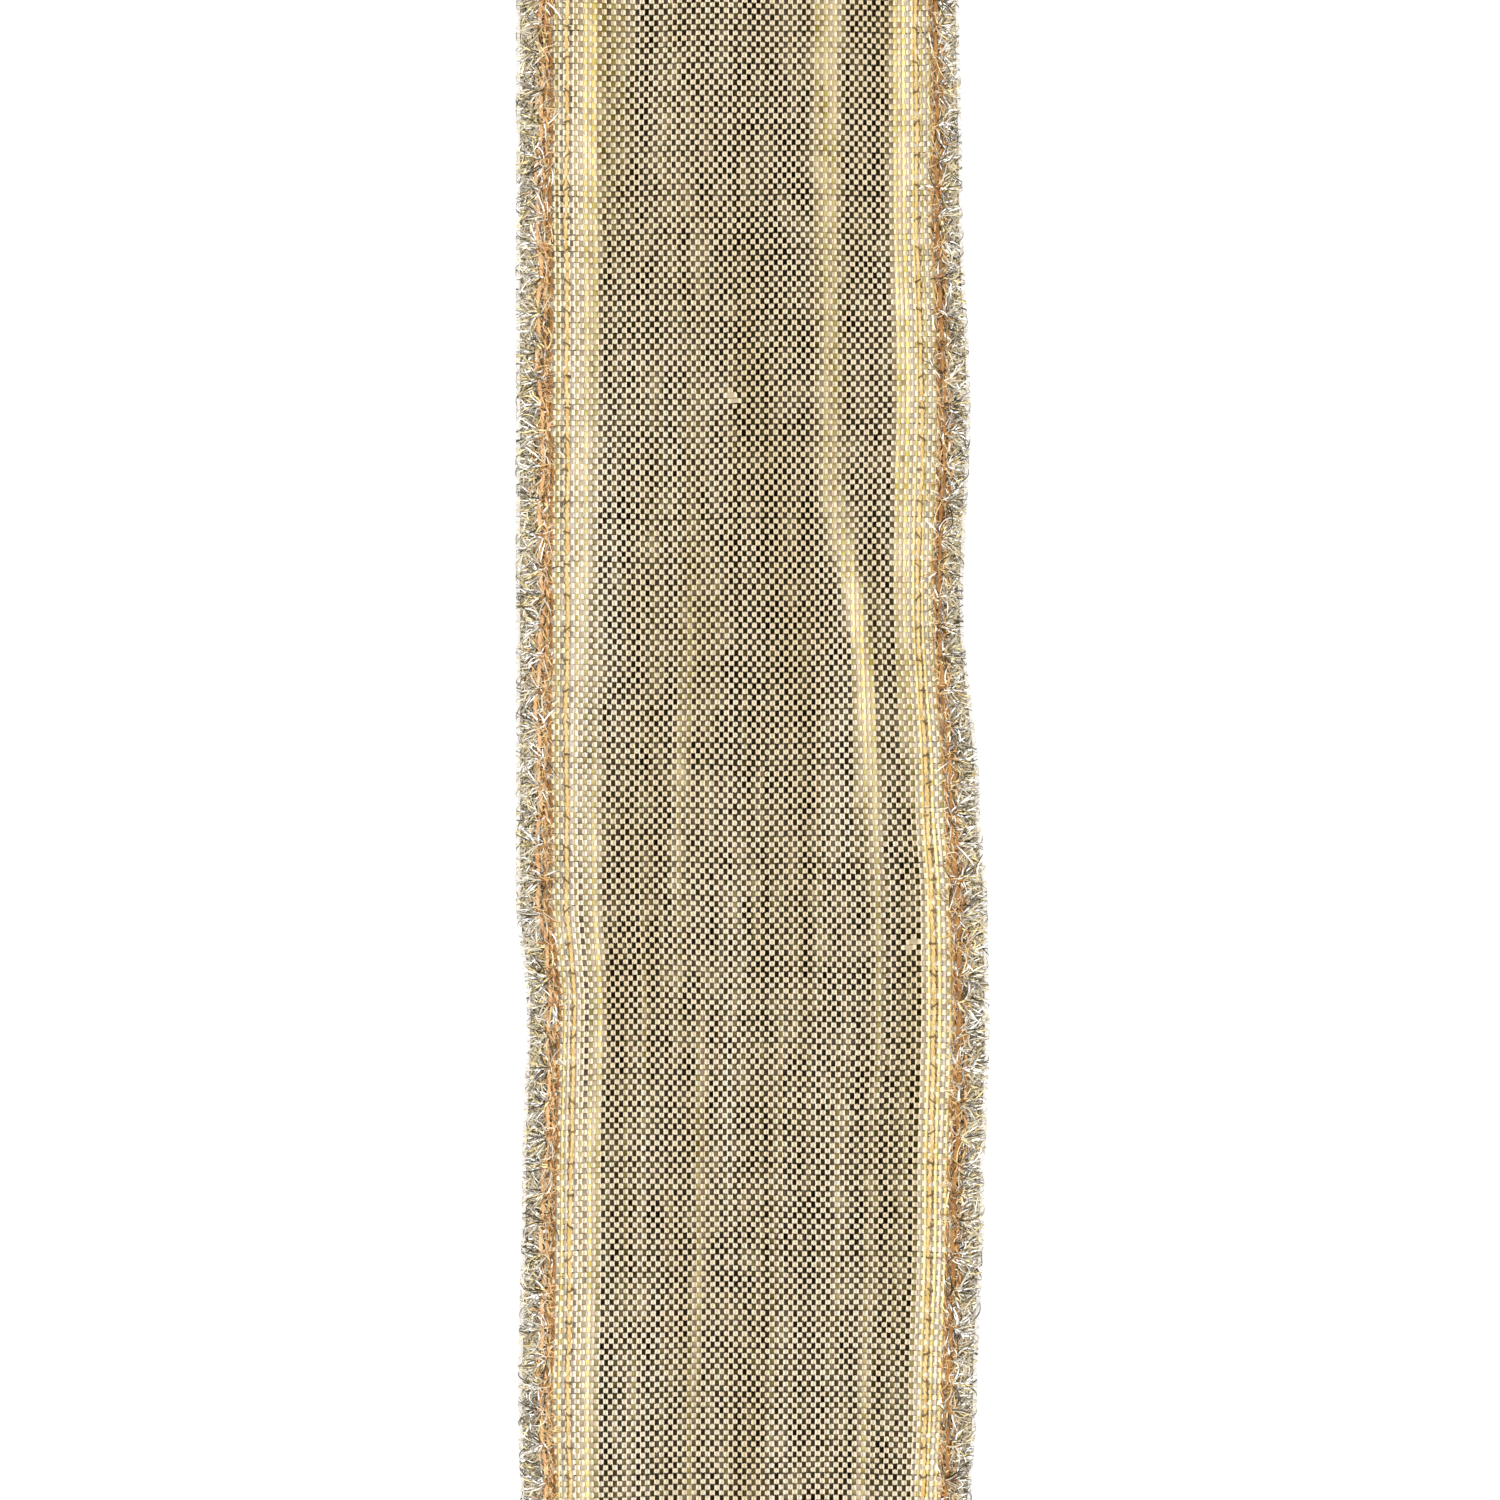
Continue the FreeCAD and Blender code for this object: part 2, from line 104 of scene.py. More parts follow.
def place(strip):
    """Ribbon coordinates (s, x, lift) to the row frame."""
    s, x, lift = strip[..., 0], strip[..., 1], strip[..., 2]
    bend = np.clip((s - FLAT_LENGTH) / BEND_RADIUS, 0, DROP_SLOPE)
    drop = np.clip(s - FLAT_LENGTH - BEND_LENGTH, 0, DROP_LENGTH)
    turn = np.clip(s - TURN_START, 0, None) / TURN_RADIUS
    heading = bend - turn
    lift = lift - TUCK_DEPTH * smooth((s - TURN_END + TUCK_LENGTH / 2) / TUCK_LENGTH)
    y = (CUT_Y + np.minimum(s, FLAT_LENGTH) + BEND_RADIUS * np.sin(bend) + drop * math.cos(DROP_SLOPE)
         + TURN_RADIUS * (math.sin(DROP_SLOPE) - np.sin(DROP_SLOPE - turn)) - lift * np.sin(heading))
    z = (TABLE_Z + BEND_RADIUS * (1 - np.cos(bend)) + drop * math.sin(DROP_SLOPE)
         + TURN_RADIUS * (np.cos(DROP_SLOPE - turn) - math.cos(DROP_SLOPE)) + lift * np.cos(heading))
    return np.stack([x, y, z], axis=-1)


# ---------------------------------------------------------------- the ribbon's shape across and along
# What differs between the two edges is kept by side: 1 is the right edge, at +x, and -1 the left one. Keys
# along the ribbon are (s, value) in millimetres. EDGE_WAVES is how far each edge moves outward.
RIGHT, LEFT = 1, -1
EDGE_WAVES = {
    RIGHT: ((0, 0.2), (15, -0.1), (24, 0.4), (41, 1.0), (55, 1.45), (66, 1.3), (75, 0.6), (91, -0.75),
            (108, -0.15), (125, -0.8), (142, -1.1), (170, 0)),
    LEFT: ((0, -0.1), (15, 0.05), (24, 0.2), (41, -0.1), (57, -0.5), (66, 0.4), (91, 0.4), (142, 0.4),
           (170, 0)),
}
MOST_SPREAD = 1.2

CLOTH_LIFT = 0.24 * MM
HEM_LIFT = 1.00 * MM
HEM_TOP = 17.0 * MM
FIRST_RISE_WIDTH = 3.3 * MM
SECOND_FOOT = 14.1 * MM

# The cloth is bowed: from a raised middle it steps down to each side, then it rises to the hem in two stages,
# and on the left a wide rise comes before those two. The values are the middle's height, the place and width
# of the step down, the height of the early and the first rise, and the place of the first rise. The second
# rise makes up the rest of the hem's height. INNER_END is close to the ribbon's other end, on the roll.
INNER_END = 641
MIDDLE_HEIGHT = ((0, 0.15), (60, 0.08), (85, 0.30), (105, 0.24), (142, 0.34), (INNER_END, 0.28))
STEP_START = {
    RIGHT: ((0, 7.6), (60, 8.2), (85, 8.9), (105, 5.3), (142, 5.0), (INNER_END, 5.2)),
    LEFT: ((0, 1.0), (INNER_END, 1.0)),
}
STEP_WIDTH = {
    RIGHT: ((0, 4.2), (60, 3.6), (85, 2.2), (105, 3.6), (142, 3.8), (INNER_END, 4.0)),
    LEFT: ((0, 8.0), (85, 8.0), (142, 12.0)),
}
EARLY_RISE = {
    RIGHT: ((0, 0), (INNER_END, 0)),
    LEFT: ((0, 0.05), (85, 0.08), (108, 0.16), (142, 0.64), (INNER_END, 0.20)),
}
EARLY_START = 7.6 * MM
EARLY_WIDTH = 6.4 * MM
FIRST_RISE = {
    RIGHT: ((0, 0.34), (85, 0.36), (108, 0.44)),
    LEFT: ((0, 0.34), (INNER_END, 0.34)),
}
RISE_START = {
    RIGHT: ((0, 13.4), (60, 13.6), (85, 12.4), (105, 11.9)),
    LEFT: ((0, 11.8), (INNER_END, 11.8)),
}

# Fine lengthwise ripples, which fade along the tail, and the tail's slow wave, which fades past the landing.
RIPPLE = 0.020 * MM
RIPPLE_WIDTH = 0.72 * MM
RIPPLE_SWAY = 1.3
RIPPLE_SWAY_LENGTH = 9 * MM
FINE_RIPPLE_WIDTH = 0.41 * MM
FINE_RIPPLE_LENGTH = 14 * MM
RIPPLE_FADE = 0.85
RIPPLE_FADE_START = 50 * MM
RIPPLE_FADE_LENGTH = 70 * MM
TAIL_WAVE = 0.25 * MM
TAIL_WAVE_LENGTH = 61 * MM
TAIL_WAVE_FADE_LENGTH = 30 * MM


def cloth_lift(s, x):
    """Height of the cloth's middle over the ribbon's underside."""
    outward = np.abs(x)
    second_share = smooth((outward - SECOND_FOOT) / (HEM_TOP - SECOND_FOOT))
    middle = eased(MIDDLE_HEIGHT, s)
    lift = CLOTH_LIFT
    for side in (RIGHT, LEFT):
        step_share = smooth((outward - eased(STEP_START[side], s)) / eased(STEP_WIDTH[side], s))
        early = eased(EARLY_RISE[side], s)
        early_share = smooth((outward - EARLY_START) / EARLY_WIDTH)
        first_share = smooth((outward - eased(RISE_START[side], s)) / FIRST_RISE_WIDTH)
        first = eased(FIRST_RISE[side], s)
        shape = (middle * (1 - step_share) + early * early_share + first * first_share
                 + (HEM_LIFT - CLOTH_LIFT - early - first) * second_share)
        lift = lift + np.where(side * x > 0, shape, 0)
    lift = lift + np.where(x == 0, middle, 0)
    ripple = (np.sin(x / RIPPLE_WIDTH + RIPPLE_SWAY * np.sin(s / RIPPLE_SWAY_LENGTH))
              + np.sin(x / FINE_RIPPLE_WIDTH - s / FINE_RIPPLE_LENGTH))
    lift = lift + RIPPLE * ripple * (1 - RIPPLE_FADE * smooth((s - RIPPLE_FADE_START) / RIPPLE_FADE_LENGTH))
    on_table = 1 - smooth((s - FLAT_LENGTH) / TAIL_WAVE_FADE_LENGTH)
    wave = 1 - np.cos(2 * math.pi * s / TAIL_WAVE_LENGTH)
    return lift + on_table * TAIL_WAVE * wave / 2


def spread(strip):
    """Moves ribbon coordinates sideways with the waves of the two edges, the more the nearer to the edge."""
    moved = strip.copy()
    for side, keys in EDGE_WAVES.items():
        share = np.clip(side * strip[..., 1] / HALF_WIDTH, 0, MOST_SPREAD) ** 2
        moved[..., 1] += side * share * eased(keys, strip[..., 0])
    return moved


# ---------------------------------------------------------------- meshes
def add_mesh(name, parts, materials):
    """One mesh from parts of (points, material index, closed across), with points (count, along, across, 3).

    The material index is one number, or one for each of the part's count grids.
    """
    points, faces, indices = [], [], []
    total = 0
    for grid, material_index, closed in parts:
        count, along, across = grid.shape[:3]
        index = total + np.arange(count * along * across).reshape(count, along, across)
        right = np.roll(index, -1, axis=2) if closed else index[:, :, 1:]
        left = index if closed else index[:, :, :-1]
        quads = np.stack([left[:, :-1], right[:, :-1], right[:, 1:], left[:, 1:]], axis=-1).reshape(-1, 4)
        points.append(grid.reshape(-1, 3))
        faces.append(quads)
        indices.append(np.broadcast_to(material_index, len(quads)) if np.isscalar(material_index)
                       else np.repeat(material_index, len(quads) // count))
        total += index.size
    points = np.concatenate(points).astype(np.float32)
    faces = np.concatenate(faces).astype(np.int32)
    mesh = bpy.data.meshes.new(name)
    mesh.vertices.add(len(points))
    mesh.vertices.foreach_set("co", points.ravel())
    mesh.loops.add(faces.size)
    mesh.loops.foreach_set("vertex_index", faces.ravel())
    mesh.polygons.add(len(faces))
    mesh.polygons.foreach_set("loop_start", np.arange(0, faces.size, 4, dtype=np.int32))
    mesh.polygons.foreach_set("use_smooth", np.ones(len(faces), bool))
    mesh.polygons.foreach_set("material_index", np.concatenate(indices).astype(np.int32))
    for material in materials:
        mesh.materials.append(material)
    mesh.update(calc_edges=True)
    piece = bpy.data.objects.new(name, mesh)
    bpy.context.scene.collection.objects.link(piece)
    return piece


def tubes(s, x, lift, radius, sides, along_x=False):
    """Round threads through points in ribbon coordinates: lengthwise ones, or crosswise ones with along_x."""
    turn = np.arange(sides) * 2 * math.pi / sides
    radius = np.broadcast_to(radius, s.shape)[..., None]
    aside = radius * np.cos(turn)
    up = radius * np.sin(turn)
    s, x, lift = (np.repeat(value[..., None], sides, axis=-1) for value in (s, x, lift))
    if along_x:
        return np.stack([s - aside, x, lift + up], axis=-1)
    return np.stack([s, x + aside, lift + up], axis=-1)


# ---------------------------------------------------------------- materials
# How a noise is drawn out over x, y and z: the smaller the share, the longer its features run that way.
EVEN = (1, 1, 1)
ACROSS = (0.25, 1, 1)
ALONG = (1, 0.4, 0.4)
LONG_STREAKS = (1, 0.1, 0.1)
STREAK_SCALE = 260
NOISE_LOW = 0.3
NOISE_HIGH = 0.7


def shader(name, roughness, metallic=0.0, **sockets):
    """A material with one Principled shader, and its nodes, links and shader."""
    material = bpy.data.materials.new(name)
    material.use_nodes = True
    nodes, links = material.node_tree.nodes, material.node_tree.links
    principled = nodes["Principled BSDF"]
    principled.inputs["Roughness"].default_value = roughness
    principled.inputs["Metallic"].default_value = metallic
    for socket, value in sockets.items():
        principled.inputs[socket.replace("_", " ")].default_value = value
    return material, nodes, links, principled


def noise(nodes, links, scale, detail=2.0, stretch=EVEN):
    """Noise over the object's own coordinates, scale in features per metre."""
    coordinates = nodes.new("ShaderNodeTexCoord")
    mapping = nodes.new("ShaderNodeMapping")
    mapping.inputs["Scale"].default_value = stretch
    texture = nodes.new("ShaderNodeTexNoise")
    texture.inputs["Scale"].default_value = scale
    texture.inputs["Detail"].default_value = detail
    links.new(coordinates.outputs["Object"], mapping.inputs["Vector"])
    links.new(mapping.outputs["Vector"], texture.inputs["Vector"])
    return texture.outputs["Fac"]


def colours(nodes, links, factor, stops):
    """A colour ramp over factor, through (position, colour) stops."""
    ramp = nodes.new("ShaderNodeValToRGB")
    elements = ramp.color_ramp.elements
    while len(elements) < len(stops):
        elements.new(0.5)
    for element, (position, colour) in zip(elements, stops):
        element.position = position
        element.color = (*colour, 1)
    links.new(factor, ramp.inputs["Fac"])
    return ramp.outputs["Color"]


def spread_value(nodes, links, factor, low, high):
    """Noise, most of which lies from NOISE_LOW to NOISE_HIGH, stretched to run from low to high."""
    stretch = nodes.new("ShaderNodeMapRange")
    stretch.inputs["From Min"].default_value = NOISE_LOW
    stretch.inputs["From Max"].default_value = NOISE_HIGH
    stretch.inputs["To Min"].default_value = low
    stretch.inputs["To Max"].default_value = high
    links.new(factor, stretch.inputs["Value"])
    return stretch.outputs["Result"]


def maths(nodes, links, operation, *values):
    """A math node; each value is a number or a socket."""
    node = nodes.new("ShaderNodeMath")
    node.operation = operation
    for socket, value in zip(node.inputs, values):
        if isinstance(value, (int, float)):
            socket.default_value = value
        else:
            links.new(value, socket)
    return node.outputs[0]


def eased_range(nodes, links, source, low, high, at_low, at_high):
    """at_low below low and at_high above high, with a smooth step between the two."""
    ramp = nodes.new("ShaderNodeMapRange")
    ramp.interpolation_type = "SMOOTHSTEP"
    for socket, value in (("From Min", low), ("From Max", high), ("To Min", at_low), ("To Max", at_high)):
        ramp.inputs[socket].default_value = value
    links.new(source, ramp.inputs["Value"])
    return ramp.outputs["Result"]


def bump(nodes, links, height, strength, distance, principled):
    """Gives the shader a relief from a height."""
    relief = nodes.new("ShaderNodeBump")
    relief.inputs["Strength"].default_value = strength
    relief.inputs["Distance"].default_value = distance
    links.new(height, relief.inputs["Height"])
    links.new(relief.outputs["Normal"], principled.inputs["Normal"])


def yarn(name, stops, roughness, metallic=0.0, scale=900, stretch=ACROSS, streaks=0.0, gloss_change=0.07):
    """A thread's material: tone and gloss follow a noise, and streaks is the tone's share of long streaks."""
    material, nodes, links, principled = shader(name, roughness, metallic)
    grain = noise(nodes, links, scale, stretch=stretch)
    gloss = spread_value(nodes, links, grain, roughness - gloss_change, roughness + gloss_change)
    links.new(gloss, principled.inputs["Roughness"])
    tone = grain
    if streaks:
        mix = nodes.new("ShaderNodeMix")
        mix.inputs["Factor"].default_value = streaks
        links.new(grain, mix.inputs["A"])
        links.new(noise(nodes, links, STREAK_SCALE, stretch=LONG_STREAKS), mix.inputs["B"])
        tone = mix.outputs["Result"]
    links.new(colours(nodes, links, tone, stops), principled.inputs["Base Color"])
    return material


weft_yarn = yarn(
    "weft_yarn",
    ((0.34, (0.585, 0.475, 0.30)), (0.5, (0.635, 0.53, 0.375)), (0.66, (0.685, 0.59, 0.455))),
    roughness=0.31, metallic=0.6, streaks=0.8, gloss_change=0.015)
warm_weft_yarn = yarn(
    "warm_weft_yarn", ((0.34, (0.52, 0.43, 0.26)), (0.66, (0.66, 0.58, 0.42))),
    roughness=0.31, metallic=0.6, gloss_change=0.015)
gold_lurex = yarn(
    "gold_lurex", ((0.34, (0.29, 0.225, 0.03)), (0.66, (0.74, 0.63, 0.32))),
    roughness=0.17, metallic=1.0, stretch=ALONG, streaks=0.45)
silver_lurex = yarn(
    "silver_lurex", ((0.34, (0.16, 0.105, 0.045)), (0.66, (0.60, 0.49, 0.34))),
    roughness=0.17, metallic=1.0, stretch=ALONG, streaks=0.45)
# Lit copies of the two lurexes, paler in their darks, for the band near the hems: a painted highlight.
painted_highlight_gold_lurex = yarn(
    "painted_highlight_gold_lurex", ((0.34, (0.34, 0.25, 0.06)), (0.66, (0.62, 0.51, 0.22))),
    roughness=0.30, metallic=0.85, stretch=ALONG)
painted_highlight_silver_lurex = yarn(
    "painted_highlight_silver_lurex", ((0.34, (0.20, 0.16, 0.12)), (0.66, (0.52, 0.45, 0.38))),
    roughness=0.30, metallic=0.85, stretch=ALONG)
# The hem's darkest speckle is painted shade, for the shade in its fold and in the gaps between the tinsel
# strands over it; the paler speckle is the cloth's own tone.
hem_cloth_and_shade = yarn(
    "hem_cloth_and_shade", ((0.40, (0.08, 0.055, 0.02)), (0.5, (0.34, 0.28, 0.17)), (0.6, (0.64, 0.56, 0.40))),
    roughness=0.45, metallic=0.4, scale=5200, stretch=EVEN)
roll_cloth = yarn(
    "roll_cloth", ((0.3, (0.30, 0.23, 0.12)), (0.7, (0.56, 0.48, 0.32))),
    roughness=0.45, metallic=0.4, scale=1400, stretch=EVEN)
peach_thread = yarn(
    "peach_thread", ((0.3, (0.56, 0.28, 0.10)), (0.6, (0.70, 0.44, 0.22))), roughness=0.55, stretch=EVEN)
cream_thread = yarn(
    "cream_thread", ((0.3, (0.60, 0.37, 0.10)), (0.6, (0.72, 0.53, 0.24))), roughness=0.5, stretch=EVEN)
knot_thread = yarn(
    "knot_thread", ((0.3, (0.07, 0.045, 0.012)), (0.7, (0.24, 0.15, 0.05))), roughness=0.5, stretch=EVEN)
rust_thread = yarn(
    "rust_thread", ((0.3, (0.22, 0.085, 0.012)), (0.7, (0.42, 0.20, 0.045))), roughness=0.55, stretch=EVEN)
wire_steel = yarn(
    "wire_steel", ((0.3, (0.45, 0.43, 0.40)), (0.7, (0.62, 0.60, 0.56))), roughness=0.32, metallic=1.0)

# Tinsel strands: name, tone, metallic and roughness.
TINSEL_TONES = (
    ("tinsel_silver", (0.78, 0.76, 0.72), 0.9, 0.25),
    ("tinsel_gold", (0.66, 0.54, 0.27), 0.9, 0.28),
    ("tinsel_cream", (0.66, 0.60, 0.46), 0.0, 0.40),
    ("tinsel_grey", (0.30, 0.27, 0.24), 1.0, 0.30),
    ("tinsel_dark", (0.05, 0.035, 0.015), 0.5, 0.35),
)
DARKER = 0.75
tinsel = []
for tone_name, tone, tone_metal, tone_roughness in TINSEL_TONES:
    darker = tuple(DARKER * channel for channel in tone)
    tinsel.append(yarn(tone_name, ((0.3, darker), (0.7, tone)), tone_roughness, tone_metal, stretch=EVEN))

# ---------------------------------------------------------------- the woven ground
WARP_PITCH = 0.388 * MM
WEFT_PITCH = 0.462 * MM
WARP_WIDTH = 0.32 * MM
WEFT_WIDTH = 0.455 * MM
CRIMP = 0.065 * MM
WEFT_CROWN = 0.055 * MM
GROUND_HALF = 16.5 * MM

# How uneven the threads are: their places, heights and widths, and the scissor cut in millimetres.
ROW_DRIFT = 0.015 * MM
COLUMN_DRIFT = 0.010 * MM
WARP_HEIGHT_CHANGE = 0.004 * MM
WEFT_HEIGHT_CHANGE = 0.005 * MM
WEFT_PLACE_CHANGE = 0.012 * MM
WARP_WIDTHS = (0.92, 1.05)
WEFT_WIDTHS = (0.86, 1.06)
WEFT_SLUBS = 0.05
CUT_STARTS = (0.1, 0.7)

# Near the hems the lengthwise threads are flatter and narrower, and painted paler as a painted highlight of
# the bright band along the hems; the crosswise ones are warmer.
HIGHLIGHT_BAND_X = 13.9 * MM
HIGHLIGHT_BAND_CRIMP_SHARE = 0.9
HIGHLIGHT_BAND_WIDTH_SHARE = 0.62
WARM_BAND_X = 14.5 * MM

columns = 2 * int(GROUND_HALF / WARP_PITCH) + 2
rows = int(RIBBON_LENGTH / WEFT_PITCH)
row_s = (np.arange(rows) + 0.5) * WEFT_PITCH + rng.normal(0, ROW_DRIFT, rows)
column_x = (np.arange(columns) - (columns - 1) / 2) * WARP_PITCH + rng.normal(0, COLUMN_DRIFT, columns)
# 1 where the lengthwise thread lies on top, and -1 where the crosswise one does.
warp_over = np.where(np.add.outer(np.arange(columns), np.arange(rows)) % 2 == 0, 1.0, -1.0)

# Weaving faults, where the weft floats over some warp threads: x and s of the first crossing in millimetres,
# and how many warp and weft threads they span.
FAULTS = ((-1.4, 108.4, 3, 2), (13.0, 61, 2, 4))
for fault_x, fault_s, fault_columns, fault_rows in FAULTS:
    fault_column = int(fault_x * MM / WARP_PITCH + columns / 2)
    fault_row = int(fault_s * MM / WEFT_PITCH)
    patch = warp_over[fault_column:fault_column + fault_columns, fault_row:fault_row + fault_rows]
    patch[rng.random(patch.shape) < 0.5] = -1


def with_middles(values):
    """values with the mean of each neighbouring pair put between the two, along the last axis."""
    doubled = np.empty((*values.shape[:-1], 2 * values.shape[-1] - 1))
    doubled[..., ::2] = values
    doubled[..., 1::2] = (values[..., 1:] + values[..., :-1]) / 2
    return doubled


def weave_wobble(s, x):
    """The slow drift of the threads, in sums of waves: lengthwise ones aside, and crosswise ones along."""
    aside = 0.05 * np.sin(s / (11 * MM) + x / (7 * MM)) + 0.04 * np.sin(s / (4.3 * MM))
    along = 0.10 * np.sin(x / (6 * MM) + s / (17 * MM)) + 0.06 * np.sin(x / (1.9 * MM) - s / (9 * MM))
    return aside * MM, along * MM


def lay(s, x, lift):
    """Ribbon coordinates on the wavy cloth, in the row frame; lift is over the cloth's middle."""
    aside, along = weave_wobble(s, x)
    strip = np.stack([s + along, x + aside, cloth_lift(s, x) + lift], axis=-1)
    return place(spread(strip))


def warp_threads(first_column):
    """Every second lengthwise thread, with uneven scissor-cut starts."""
    chosen = np.arange(first_column, columns, 2)
    s = np.broadcast_to(with_middles(row_s), (len(chosen), 2 * rows - 1)).copy()
    s[:, 0] -= rng.uniform(*CUT_STARTS, len(chosen)) * MM
    # Threads in the band near the hems are flatter and narrower, and take the painted-highlight lurex.
    in_highlight_band = np.abs(column_x[chosen]) > HIGHLIGHT_BAND_X
    crimp = CRIMP * np.where(in_highlight_band, HIGHLIGHT_BAND_CRIMP_SHARE, 1)[:, None]
    height = crimp * with_middles(warp_over[chosen]) + rng.normal(0, WARP_HEIGHT_CHANGE, s.shape)
    half = WARP_WIDTH / 2 * rng.uniform(*WARP_WIDTHS, (len(chosen), 1))
    half = half * np.where(in_highlight_band, HIGHLIGHT_BAND_WIDTH_SHARE, 1)[:, None]
    x = np.stack([column_x[chosen, None] - half, column_x[chosen, None] + half], axis=-1)
    x = np.broadcast_to(x, (*s.shape, 2))
    points = lay(np.repeat(s[..., None], 2, axis=-1), x, np.repeat(height[..., None], 2, axis=-1))
    return points, in_highlight_band.astype(int), False


def weft_threads():
    """The crosswise threads, crowned across their width."""
    overhang = 0.5 * WARP_PITCH
    x = with_middles(np.concatenate([[column_x[0] - overhang], column_x, [column_x[-1] + overhang]]))
    over = np.pad(-warp_over.T, ((0, 0), (1, 1)))
    height = CRIMP * with_middles(over)
    shape = (rows, len(x))
    half = WEFT_WIDTH / 2 * rng.uniform(*WEFT_WIDTHS, (rows, 1)) * (1 + rng.normal(0, WEFT_SLUBS, shape))
    height = height + rng.normal(0, WEFT_HEIGHT_CHANGE, shape)
    s = row_s[:, None] + rng.normal(0, WEFT_PLACE_CHANGE, shape)
    s = np.stack([s - half, s, s + half], axis=-1)
    crown = np.array([-WEFT_CROWN, 0, -WEFT_CROWN])
    x = np.broadcast_to(x[None, :, None], s.shape)
    grid = lay(s, x, height[..., None] + crown)
    band = int((columns / 2 - WARM_BAND_X / WARP_PITCH) * 2)
    return [(grid[:, :band + 1], 1, False), (grid[:, band:-band], 0, False), (grid[:, -band - 1:], 1, False)]


ribbon_weft = add_mesh("ribbon_weft", weft_threads(), [weft_yarn, warm_weft_yarn])
ribbon_gold_warp = add_mesh("ribbon_gold_warp", [warp_threads(0)], [gold_lurex, painted_highlight_gold_lurex])
ribbon_silver_warp = add_mesh("ribbon_silver_warp", [warp_threads(1)], [silver_lurex, painted_highlight_silver_lurex])

# ---------------------------------------------------------------- hems, wires and seams
OUTER_SEAM_X = 17.0 * MM
INNER_SEAM_X = 14.9 * MM
WIRE_X = 15.9 * MM
WIRE_LIFT = 0.42 * MM
WIRE_RADIUS = 0.2 * MM
WIRE_END = 1.1 * MM
WIRE_STEP = 2 * MM
WIRE_SIDES = 8
STITCH = 2.66 * MM
HEM_STEP = 0.8 * MM
SEAM_STEP = 0.22 * MM
PLY_PITCH = 1.1 * MM
PULL_SHARE = 0.11
THREAD_SIDES = 6
BAR_POINTS = 6
BAR_HEIGHT = 0.32 * MM
BAR_PLACE_CHANGE = 0.08 * MM
BAR_ASIDE_CHANGE = 0.05 * MM
BAR_SLANTS = (-0.25, 0.25)
# The hem's outline as (distance from the middle, lift) in millimetres, from below the cloth round to its top.
HEM_SECTION = ((13.9, 0.07), (15.2, 0.08), (17.2, 0.08), (18.3, 0.12), (18.75, 0.40), (18.3, 0.70),
               (17.4, 0.84), (16.8, 0.84))


def hem(side):
    """The cloth's edge, folded under and sewn down: a band that wraps the wire."""
    s = np.arange(0, RIBBON_LENGTH, HEM_STEP)
    section = np.array(HEM_SECTION) * MM
    x = np.broadcast_to(side * section[:, 0], (len(s), len(section)))
    strip = np.stack([np.repeat(s[:, None], len(section), axis=1), x,
                      np.broadcast_to(section[:, 1], x.shape) + table_wave(s)[:, None]], axis=-1)
    return place(spread(strip))[None]


def table_wave(s):
    """How far the tail's slow wave and the fine ripples lift the hem."""
    return cloth_lift(s, np.full_like(s, OUTER_SEAM_X)) - HEM_LIFT


def line(s, x, lift, radius, sides=THREAD_SIDES):
    """One lengthwise round thread, in the row frame."""
    return place(spread(tubes(s[None], x[None], lift[None], radius, sides)))


def twisted(s, x, lift, radius, twist_radius, pitch, phase):
    """One ply of a twisted thread."""
    turn = 2 * math.pi * s / pitch + phase
    return line(s, x + twist_radius * np.cos(turn), lift + twist_radius * np.sin(turn), radius)


def seam(side, distance, radius, twist_radius, wobble, dip, phase):
    """Two plies that lie on the hem, wander aside by wobble and are pulled down by dip at every stitch."""
    s = np.arange(0, RIBBON_LENGTH, SEAM_STEP)
    stitch_place = (s / STITCH + phase) % 1
    pull = np.exp(-((stitch_place - 0.5) / PULL_SHARE) ** 2)
    quick_drift = np.sin(s / (2.3 * MM) + phase) + 0.7 * np.sin(s / (0.9 * MM) + 1)
    drift = wobble * (quick_drift + np.sin(s / (7 * MM)))
    x = side * distance + drift
    lift = cloth_lift(s, x) + CRIMP + radius + twist_radius - dip * pull
    return [twisted(s, x, lift, radius, twist_radius, PLY_PITCH, ply) for ply in (0, math.pi)]


def stitch_bars(side, distance, reach, radius):
    """The short crosswise loops that the needle thread makes at every stitch."""
    count = int(RIBBON_LENGTH / STITCH)
    middle = (np.arange(count) + 0.5) * STITCH + rng.normal(0, BAR_PLACE_CHANGE, count)
    share = np.linspace(-1, 1, BAR_POINTS)
    x = side * distance + share[None] * reach + rng.normal(0, BAR_ASIDE_CHANGE, (count, 1))
    s = middle[:, None] + share[None] * rng.uniform(*BAR_SLANTS, (count, 1)) * MM
    lift = cloth_lift(s, x) + CRIMP + BAR_HEIGHT * np.sqrt(np.clip(1 - share ** 2, 0, 1))[None]
    return place(spread(tubes(s, x, lift, radius, THREAD_SIDES, along_x=True)))


FUZZ_PER_MM = 18
FUZZ_POINTS = 4
FUZZ_X = 16.85 * MM
FUZZ_SPREAD = 0.38 * MM
FUZZ_CURL = 0.14 * MM
# The least and most in millimetres.
FUZZ_LENGTHS = (0.25, 1.0)
FUZZ_HEIGHTS = (0.05, 0.55)
FUZZ_HALF_WIDTHS = (0.018, 0.04)
# How much of the fuzz is peach, rust, cream and the ground's own yarn.
FUZZ_SHARES = {LEFT: (0.44, 0.12, 0.28, 0.16), RIGHT: (0.16, 0.40, 0.26, 0.18)}


def loose_strips(s, x, lift, across_angle, half):
    """Flat strips, half as wide as given to each side of their middle lines, facing up."""
    edge = np.array([-1, 1]) * half[..., None]
    return np.stack([s[..., None] + edge * np.cos(across_angle)[..., None],
                     x[..., None] - edge * np.sin(across_angle)[..., None],
                     np.broadcast_to(lift[..., None], (*lift.shape, 2))], axis=-1)


